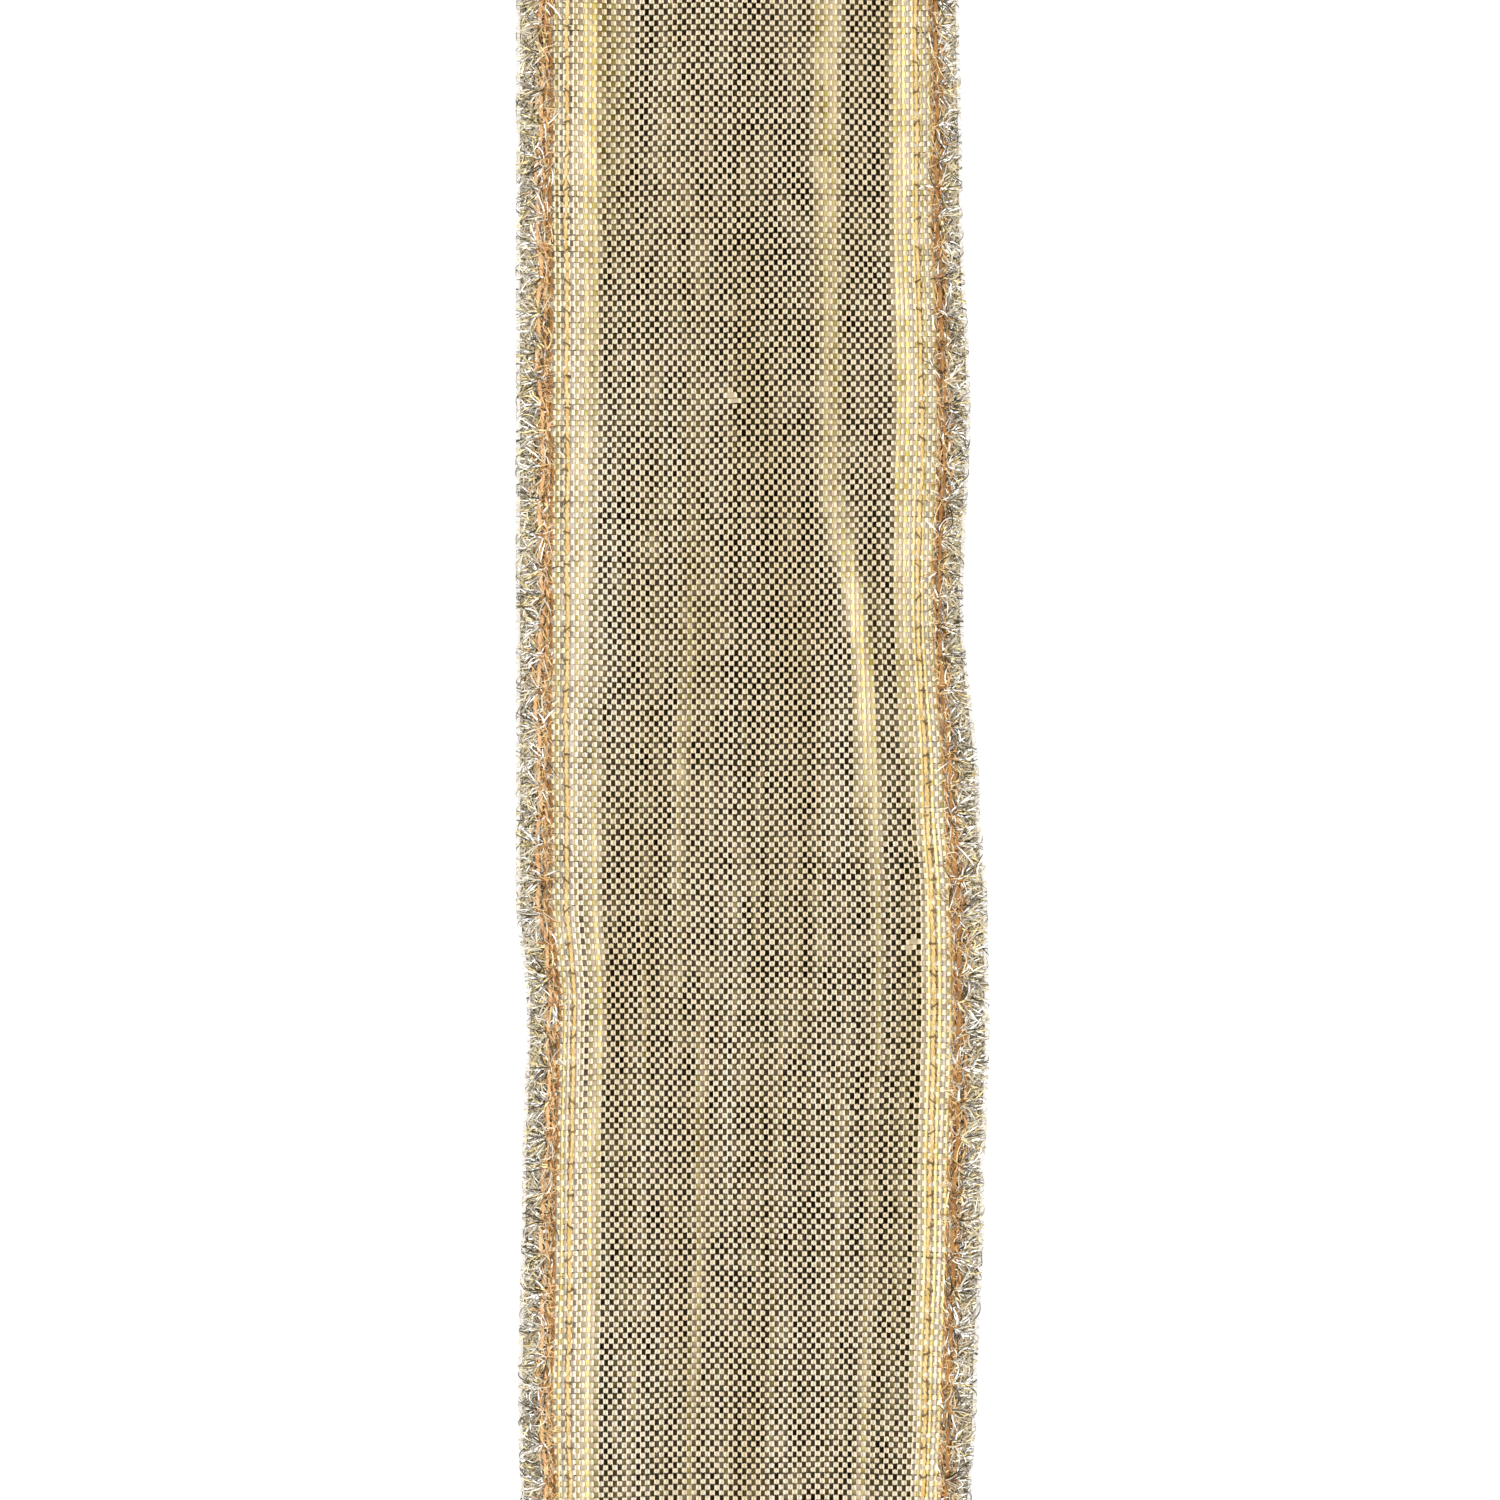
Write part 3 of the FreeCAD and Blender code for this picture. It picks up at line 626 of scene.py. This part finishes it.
def fuzz(side):
    """Loose fibres that stand off the outer seam's threads in every direction."""
    count = int(RIBBON_LENGTH / MM * FUZZ_PER_MM)
    each = (count, 1)
    share = np.linspace(0, 1, FUZZ_POINTS)[None]
    angle = rng.uniform(0, 2 * math.pi, each)
    length = rng.uniform(*FUZZ_LENGTHS, each) * MM
    curl = rng.normal(0, FUZZ_CURL, each) * np.sin(math.pi * share)
    s = rng.uniform(0, RIBBON_LENGTH, each) + length * share * np.sin(angle) + curl * np.cos(angle)
    root = side * rng.normal(FUZZ_X, FUZZ_SPREAD, each)
    x = root + length * share * np.cos(angle) - curl * np.sin(angle)
    lift = cloth_lift(s, x) + CRIMP + rng.uniform(*FUZZ_HEIGHTS, each) * MM * (1 - 0.5 * share)
    half = np.broadcast_to(rng.uniform(*FUZZ_HALF_WIDTHS, each) * MM, s.shape)
    tones = rng.choice(len(FUZZ_SHARES[side]), count, p=FUZZ_SHARES[side])
    return place(spread(loose_strips(s, x, lift, np.broadcast_to(angle, s.shape), half))), tones, False


# The hems carry the cloth whose darkest speckle is painted shade.
hems = add_mesh("hems", [(hem(side), 0, False) for side in (LEFT, RIGHT)], [hem_cloth_and_shade])

wire_s = np.arange(-WIRE_END, RIBBON_LENGTH, WIRE_STEP)
wire_lift = WIRE_LIFT + table_wave(wire_s)
wire_lines = [line(wire_s, np.full_like(wire_s, side * WIRE_X), wire_lift, WIRE_RADIUS, WIRE_SIDES)
              for side in (LEFT, RIGHT)]
edge_wires = add_mesh("edge_wires", [(wire_line, 0, True) for wire_line in wire_lines], [wire_steel])

# Places in the lists of materials below: of the outer seams and of the inner ones.
PEACH, RUST = 0, 1
CREAM, KNOT = 0, 1
# Outer seam threads of each edge: x, thread radius and wobble in millimetres, and the two plies' tones.
OUTER_THREADS = {
    LEFT: ((17.1, 0.12, 0.15, PEACH, PEACH), (16.6, 0.09, 0.10, RUST, PEACH),
           (16.2, 0.07, 0.06, RUST, RUST)),
    RIGHT: ((16.8, 0.14, 0.06, RUST, RUST), (17.3, 0.08, 0.14, PEACH, RUST),
            (16.35, 0.06, 0.08, PEACH, RUST)),
}
outer_parts = []
inner_parts = []
for side in (LEFT, RIGHT):
    for number, (thread_x, thread_radius, wobble, *tones) in enumerate(OUTER_THREADS[side]):
        plies = seam(side, thread_x * MM, thread_radius * MM, twist_radius=0.08 * MM, wobble=wobble * MM,
                     dip=0.5 * MM, phase=0.37 * number)
        outer_parts += [(ply, tone, True) for ply, tone in zip(plies, tones)]
    outer_bars = stitch_bars(side, OUTER_SEAM_X, reach=0.45 * MM, radius=0.08 * MM)
    outer_parts += [(outer_bars, RUST, True), fuzz(side)]
    inner_plies = seam(side, INNER_SEAM_X, radius=0.10 * MM, twist_radius=0.07 * MM, wobble=0.05 * MM,
                       dip=0.4 * MM, phase=0.7)
    inner_parts += [(ply, CREAM, True) for ply in inner_plies]
    inner_parts.append((stitch_bars(side, INNER_SEAM_X, reach=0.26 * MM, radius=0.09 * MM), KNOT, True))
outer_seams = add_mesh("outer_seams", outer_parts, [peach_thread, rust_thread, cream_thread, weft_yarn])
inner_seams = add_mesh("inner_seams", inner_parts, [cream_thread, knot_thread])

# ---------------------------------------------------------------- the tinsel edges
STRANDS_PER_MM = 25
STRAND_POINTS = 7
# How many strands are of each of TINSEL_TONES.
STRAND_SHARES = (0.36, 0.20, 0.18, 0.11, 0.15)
ROOT_X = 16.3 * MM
TIP_X = HALF_WIDTH + 0.1 * MM
EDGE_ROUNDING = 2.45 * MM
ROUNDING_POWER = 2.6
ROUNDING_START = 16.8 * MM
EDGE_LIFT = 0.10 * MM
LOWEST_STRAND = 0.03 * MM
LOWEST_STRAND_SIDE = 0.02 * MM

# A strand is loose or in a tuft. Pairs are the mean and spread of a heading or a tuft's root, or else the
# least and most. Roots, lengths, heights and half widths are millimetres, headings radians from outward.
TUFT_SHARE = 0.35
TUFT_SPREAD = 0.12 * MM
TUFT_DRIFT = 0.5 * MM
TUFT_DRIFT_TURN = 7.3
TUFT_ROOTS = (0.7, 0.25)
LOOSE_ROOTS = (0, 2.3)
TUFT_HEADINGS = (0, 0.9)
LOOSE_LEAN = 0.35
LOOSE_HEADING_SPREAD = 0.85
TUFT_LENGTHS = (0.9, 2.2)
LOOSE_LENGTHS = (0.5, 1.9)
TUFT_HEIGHTS = (0.25, 0.75)
LOOSE_HEIGHTS = (0, 0.5)
CURL_SPREAD = 0.9
FOLD_BACK = 0.35
START_OVERHANG = 0.4 * MM
STRAND_HALF_WIDTHS = (0.024, 0.060)
TIP_NARROWING = 0.6
ROLL_SPREAD = 0.5
TIP_ROLL_SPREAD = 1.2


def fringe(side):
    """Flat metal strands that curl over the hem's edge, loose in every direction, with tufts at the stitches.

    out is a strand's distance from the ribbon's middle, share its place from root to tip.
    """
    count = int(RIBBON_LENGTH / MM * STRANDS_PER_MM)
    each = (count, 1)
    share = np.linspace(0, 1, STRAND_POINTS)[None]
    in_tuft = rng.random(each) < TUFT_SHARE
    start = rng.uniform(0, RIBBON_LENGTH, each)
    stitch = np.floor(start / STITCH)
    tuft = (stitch + 0.5) * STITCH + TUFT_DRIFT * np.sin(TUFT_DRIFT_TURN * stitch)
    start = np.where(in_tuft, tuft + rng.normal(0, TUFT_SPREAD, each), start)
    root = ROOT_X + np.where(in_tuft, rng.normal(*TUFT_ROOTS, each), rng.uniform(*LOOSE_ROOTS, each)) * MM
    heading = np.where(in_tuft, rng.normal(*TUFT_HEADINGS, each),
                       rng.normal(LOOSE_LEAN * side, LOOSE_HEADING_SPREAD, each))
    length = np.where(in_tuft, rng.uniform(*TUFT_LENGTHS, each), rng.uniform(*LOOSE_LENGTHS, each)) * MM
    bend = heading + rng.normal(0, CURL_SPREAD, each) * (share - 0.5)
    step = length / (STRAND_POINTS - 1)
    out = root + np.cumsum(step * np.cos(bend), axis=1)
    out = np.where(out > TIP_X, TIP_X - FOLD_BACK * (out - TIP_X), out)
    s = np.clip(start + np.cumsum(step * np.sin(bend), axis=1), -START_OVERHANG, RIBBON_LENGTH)
    over = np.where(in_tuft, rng.uniform(*TUFT_HEIGHTS, each), rng.uniform(*LOOSE_HEIGHTS, each)) * MM
    over = over * np.sin(math.pi * (0.2 + 0.6 * share))
    rounding = ((out - ROUNDING_START) / EDGE_ROUNDING).clip(0, 1)
    fall = np.sqrt(np.clip(1 - rounding ** ROUNDING_POWER, 0, 1))
    lift = EDGE_LIFT + (HEM_LIFT - EDGE_LIFT + over) * fall + table_wave(s) * fall
    lift = np.maximum(lift, LOWEST_STRAND)
    half = rng.uniform(*STRAND_HALF_WIDTHS, each) * MM * (1 - TIP_NARROWING * share ** 3)
    strip = loose_strips(s, side * out, lift, side * bend, half)
    roll = rng.normal(0, ROLL_SPREAD, each) + rng.normal(0, TIP_ROLL_SPREAD, each) * share
    strip[..., 2] += np.array([-1, 1]) * (half * np.sin(roll))[..., None]
    strip[..., 2] = np.maximum(strip[..., 2], LOWEST_STRAND_SIDE)
    return place(spread(strip)), rng.choice(len(TINSEL_TONES), count, p=STRAND_SHARES), False


tinsel_edges = add_mesh("tinsel_edges", [fringe(side) for side in (LEFT, RIGHT)], tinsel)

# ---------------------------------------------------------------- the roll
ROLL_INNER = 25.45 * MM
ROLL_OUTER = 58.6 * MM
TURN_PITCH = 1.0 * MM
STEPS_PER_TURN = 96
# Across the wound ribbon, as (x, rise over its middle) in millimetres.
ROLL_SECTION = ((-19.0, -0.1), (-17.6, 0.15), (-16.8, 0.2), (-15.0, 0), (0, 0), (15.0, 0), (16.8, 0.2),
                (17.6, 0.15), (19.0, -0.1))
roll_turns = (ROLL_OUTER - ROLL_INNER) / TURN_PITCH
roll_angle = np.linspace(0, 2 * math.pi * roll_turns, int(roll_turns * STEPS_PER_TURN))
roll_radius = ROLL_OUTER - TURN_PITCH * roll_angle / (2 * math.pi)
start_angle = math.pi / 2 + DROP_SLOPE
roll_x, edge_rise = np.array(ROLL_SECTION).T * MM
radius_grid = roll_radius[:, None] + edge_rise[None]
angle_grid = start_angle - roll_angle[:, None]
roll_grid = np.stack([np.broadcast_to(roll_x, radius_grid.shape), radius_grid * np.cos(angle_grid),
                      radius_grid * np.sin(angle_grid)], axis=-1)
wound_ribbon = add_mesh("wound_ribbon", [(roll_grid[None], 0, False)], [roll_cloth])

# ---------------------------------------------------------------- bodies, and the CAD parts that the pieces stand in for hidden
EDGE_LINES = ("edge_wire", "outer_seam", "inner_seam")
both_sides = ("left", "right")
ground_nodes = ["run_off_ground", "landing_ground", "tail_ground"]
edging_nodes = [f"{part}_{side}_edging" for part in ("run_off", "landing", "tail") for side in both_sides]
line_nodes = {kind: [f"{part}_{side}_{kind}" for part in ("run_off", "tail") for side in both_sides]
              for kind in EDGE_LINES}

for piece, slot_name, nodes_replaced in (
    (ribbon_weft, "ribbon_weave", ground_nodes),
    (ribbon_gold_warp, "ribbon_weave", []),
    (ribbon_silver_warp, "ribbon_weave", []),
    (hems, "ribbon_weave", []),
    (tinsel_edges, "tinsel_edging", edging_nodes),
    (edge_wires, "edge_wire", line_nodes["edge_wire"]),
    (outer_seams, "seam_thread", line_nodes["outer_seam"]),
    (inner_seams, "seam_thread", line_nodes["inner_seam"]),
):
    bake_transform(piece)
    if nodes_replaced:
        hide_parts(*nodes_replaced)

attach(wound_ribbon, "spool")
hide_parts("roll_ground", "roll_left_edging", "roll_right_edging",
            "roll_left_edge_wire", "roll_right_edge_wire")


# ---------------------------------------------------------------- the spool's board and paper
COARSE_SCALE = 0.06
FIBRES = (1, 1, 0.25)
FIBRE_SHARE = 0.6
FIBRE_RELIEF = 0.5
GLOSS_CHANGE = 0.08
CORE_OUTER = 0.025
CORE_STRIP = 0.036
SCUFF_SCALE = 220
SCUFF_REACH = 0.012
# A mix node's sockets for colours, by number, because its names repeat.
COLOUR_A, COLOUR_B, COLOUR_RESULT = 6, 7, 2
# Where soft steps start and end: the rim's wear over the distance from the axis and the core's print over the
# distance from its edge, in metres, and the tube's spiral joint in shares of a strip.
RIM_WEAR = (0.0655, 0.0700)
PRINT_EDGE = (0.0002, 0.0009)
JOINT_EDGE = (0.004, 0.016)
# How much of the tone each of them leaves.
RIM_TONE = 0.72
PRINT_TONE = 0.80
JOINT_TONE = 0.45


def board(name, stops, roughness, fibre_scale, relief, shade=None):
    """Fibrous board or paper. shade(nodes, links) may give a factor that darkens it."""
    material, nodes, links, principled = shader(name, roughness)
    coarse = noise(nodes, links, fibre_scale * COARSE_SCALE, detail=5)
    fibres = noise(nodes, links, fibre_scale, detail=6, stretch=FIBRES)
    mix = nodes.new("ShaderNodeMix")
    mix.inputs["Factor"].default_value = FIBRE_SHARE
    links.new(coarse, mix.inputs["A"])
    links.new(fibres, mix.inputs["B"])
    tone = colours(nodes, links, mix.outputs["Result"], stops)
    if shade:
        darkened = nodes.new("ShaderNodeMix")
        darkened.data_type = "RGBA"
        darkened.blend_type = "MULTIPLY"
        darkened.inputs["Factor"].default_value = 1
        links.new(tone, darkened.inputs[COLOUR_A])
        links.new(shade(nodes, links), darkened.inputs[COLOUR_B])
        tone = darkened.outputs[COLOUR_RESULT]
    links.new(tone, principled.inputs["Base Color"])
    gloss = spread_value(nodes, links, fibres, roughness - GLOSS_CHANGE, roughness + GLOSS_CHANGE)
    links.new(gloss, principled.inputs["Roughness"])
    bump(nodes, links, fibres, FIBRE_RELIEF, relief, principled)
    return material


def around_core(nodes, links):
    """The object's x, y and z, and the distance from the core's axis."""
    coordinates = nodes.new("ShaderNodeTexCoord")
    parts = nodes.new("ShaderNodeSeparateXYZ")
    links.new(coordinates.outputs["Object"], parts.inputs["Vector"])
    x, y, z = (parts.outputs[axis] for axis in "XYZ")
    y_squared = maths(nodes, links, "MULTIPLY", y, y)
    z_squared = maths(nodes, links, "MULTIPLY", z, z)
    return x, y, z, maths(nodes, links, "SQRT", maths(nodes, links, "ADD", y_squared, z_squared))


def facing_shade(nodes, links):
    """Scuffs near the rim, and the print of the core's end pressed through the paper."""
    _, _, _, radius = around_core(nodes, links)
    scuff = noise(nodes, links, SCUFF_SCALE, detail=6)
    reach = maths(nodes, links, "ADD", radius, maths(nodes, links, "MULTIPLY", scuff, SCUFF_REACH))
    worn = eased_range(nodes, links, reach, *RIM_WEAR, 1.0, RIM_TONE)
    from_print = maths(nodes, links, "ABSOLUTE", maths(nodes, links, "SUBTRACT", radius, CORE_OUTER))
    pressed = eased_range(nodes, links, from_print, *PRINT_EDGE, PRINT_TONE, 1.0)
    return maths(nodes, links, "MULTIPLY", worn, pressed)


def core_shade(nodes, links):
    """The spiral joints of the paper strip that the tube is wound from."""
    x, y, z, _ = around_core(nodes, links)
    angle = maths(nodes, links, "DIVIDE", maths(nodes, links, "ARCTAN2", z, y), 2 * math.pi)
    strips = maths(nodes, links, "ADD", maths(nodes, links, "DIVIDE", x, CORE_STRIP), angle)
    in_strip = maths(nodes, links, "FRACT", strips)
    from_joint = maths(nodes, links, "ABSOLUTE", maths(nodes, links, "SUBTRACT", in_strip, 0.5))
    return eased_range(nodes, links, from_joint, *JOINT_EDGE, JOINT_TONE, 1.0)


greyboard = board(
    "greyboard", ((0.35, (0.20, 0.17, 0.13)), (0.65, (0.38, 0.33, 0.27))),
    roughness=0.85, fibre_scale=1500, relief=0.05 * MM)
kraft = board(
    "kraft_tube", ((0.35, (0.24, 0.165, 0.09)), (0.65, (0.38, 0.27, 0.16))),
    roughness=0.8, fibre_scale=1200, relief=0.05 * MM, shade=core_shade)
kraft_paper = board(
    "kraft_paper", ((0.35, (0.24, 0.165, 0.095)), (0.65, (0.36, 0.26, 0.165))),
    roughness=0.7, fibre_scale=1800, relief=0.03 * MM, shade=facing_shade)
dried_glue = board(
    "dried_glue", ((0.3, (0.52, 0.44, 0.28)), (0.7, (0.66, 0.60, 0.48))),
    roughness=0.35, fibre_scale=800, relief=0.05 * MM)
paper_tape = board(
    "paper_tape", ((0.3, (0.56, 0.48, 0.32)), (0.7, (0.66, 0.60, 0.46))),
    roughness=0.75, fibre_scale=1600, relief=0.02 * MM)
for node_name, node_material in (
    ("left_flange_board", greyboard), ("right_flange_board", greyboard), ("core_tube", kraft),
    ("left_flange_facing", kraft_paper), ("right_flange_facing", kraft_paper),
    ("left_glue_bead", dried_glue), ("right_glue_bead", dried_glue), ("starter_tape", paper_tape),
):
    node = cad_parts[node_name]
    node.data.materials.clear()
    node.data.materials.append(node_material)

# ---------------------------------------------------------------- stage, light and camera
HALF_FLOOR = 2.0
FLOOR_SCALE = 3
FLOOR_STOPS = ((0.3, (0.93, 0.93, 0.93)), (0.7, (0.95, 0.95, 0.95)))
floor_mesh = bpy.data.meshes.new("table_top")
floor_corners = [(across * HALF_FLOOR, along * HALF_FLOOR, TABLE_Z)
                 for across, along in ((-1, -1), (1, -1), (1, 1), (-1, 1))]
floor_mesh.from_pydata(floor_corners, [], [(0, 1, 2, 3)])
table_top = bpy.data.objects.new("table_top", floor_mesh)
bpy.context.scene.collection.objects.link(table_top)
floor_paint, floor_nodes, floor_links, floor_shader = shader("table_paint", 0.9, Specular_IOR_Level=0.2)
floor_tone = noise(floor_nodes, floor_links, FLOOR_SCALE)
floor_colour = colours(floor_nodes, floor_links, floor_tone, FLOOR_STOPS)
floor_links.new(floor_colour, floor_shader.inputs["Base Color"])
floor_mesh.materials.append(floor_paint)

# The studio is dark overhead and bright to the left and right, less so low down there, with a pale band round
# the horizon. SIDES_EDGE and LOW_SIDES_EDGE are how far a direction points sideways, HORIZON_TOP how far up.
SKY_DARK = 0.015
SKY_SIDES = 3.0
SKY_LOW_SIDES = 0.5
SKY_HORIZON = 0.95
SIDES_EDGE = (0.09, 0.46)
LOW_SIDES_EDGE = (0.70, 0.90)
HORIZON_TOP = 0.22
SKY_STOPS = ((0.02, (1.0, 0.80, 0.46)), (0.5, (1.0, 0.99, 0.97)))
world = bpy.data.worlds.new("studio")
bpy.context.scene.world = world
world.use_nodes = True
sky_nodes, sky_links = world.node_tree.nodes, world.node_tree.links
background = sky_nodes["Background"]
direction = sky_nodes.new("ShaderNodeTexCoord")
split = sky_nodes.new("ShaderNodeSeparateXYZ")
sky_links.new(direction.outputs["Generated"], split.inputs["Vector"])
sideways = maths(sky_nodes, sky_links, "ABSOLUTE", split.outputs["X"])
sides_light = eased_range(sky_nodes, sky_links, sideways, *SIDES_EDGE, SKY_DARK, SKY_SIDES)
low_share = eased_range(sky_nodes, sky_links, sideways, *LOW_SIDES_EDGE, 1.0, SKY_LOW_SIDES / SKY_SIDES)
high_sides = maths(sky_nodes, sky_links, "MULTIPLY", sides_light, low_share)
horizon_light = eased_range(sky_nodes, sky_links, split.outputs["Z"], 0.0, HORIZON_TOP, SKY_HORIZON, 0.0)
sky_light = maths(sky_nodes, sky_links, "MAXIMUM", high_sides, horizon_light)
sky_links.new(sky_light, background.inputs["Strength"])
sky_links.new(colours(sky_nodes, sky_links, sky_light, SKY_STOPS), background.inputs["Color"])

# The camera looks straight down on the flat tail.
LENS_MM = 100
SENSOR_MM = 36
VIEW_WIDTH = 127 * MM
VIEW_X = 0.3 * MM
VIEW_Y = CUT_Y + 78.8 * MM
CLIP_START = 0.01
camera_data = bpy.data.cameras.new("camera")
camera_data.lens = LENS_MM
camera_data.sensor_width = SENSOR_MM
camera_data.clip_start = CLIP_START
camera = bpy.data.objects.new("camera", camera_data)
camera.location = (VIEW_X, VIEW_Y, TABLE_Z + VIEW_WIDTH * LENS_MM / SENSOR_MM)
bpy.context.scene.collection.objects.link(camera)
bpy.context.scene.camera = camera
bpy.context.scene.view_settings.view_transform = "Standard"
